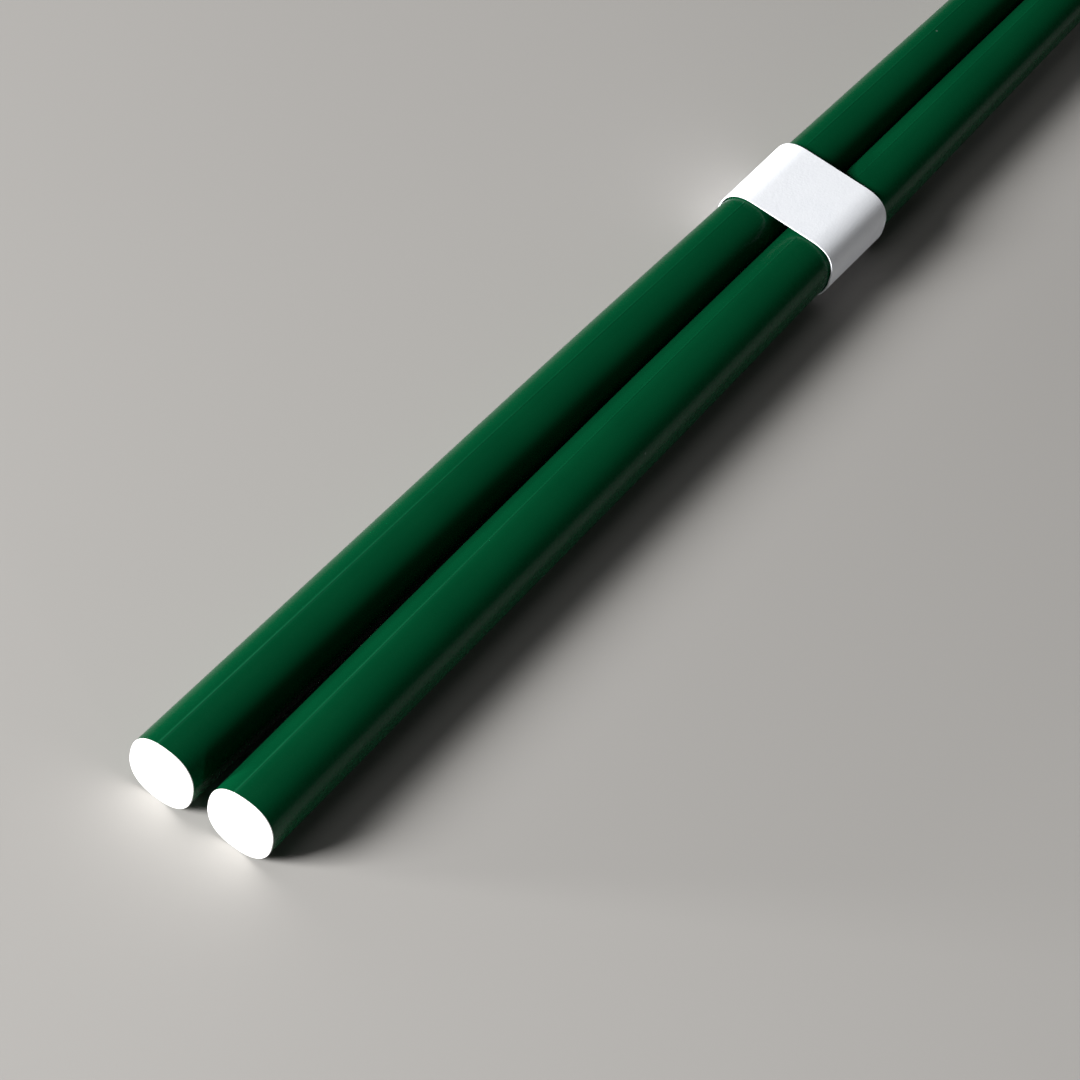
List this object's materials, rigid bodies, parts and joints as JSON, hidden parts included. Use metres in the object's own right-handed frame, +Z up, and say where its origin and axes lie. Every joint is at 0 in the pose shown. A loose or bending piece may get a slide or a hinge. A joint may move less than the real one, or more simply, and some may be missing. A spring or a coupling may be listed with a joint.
{
  "type": "pair of chopsticks",
  "caption": "Pair of tapered green sticks with flat white butt ends, lying side by side in a white paper band, for picking up food.",
  "frame": {"origin": "bottom centre of the pair as it lies on a table", "axes": "+Y along the sticks towards the tips, +Z up, +X towards the right stick seen from the butts"},
  "size_m": [0.0174, 0.2306, 0.0083],
  "materials": {
    "green_plastic": "satin",
    "white_paper": "matte"
  },
  "bodies": {
    "root": {"left_chopstick": "green_plastic", "right_chopstick": "green_plastic", "paper_band": "white_paper"}
  },
  "joints": []
}
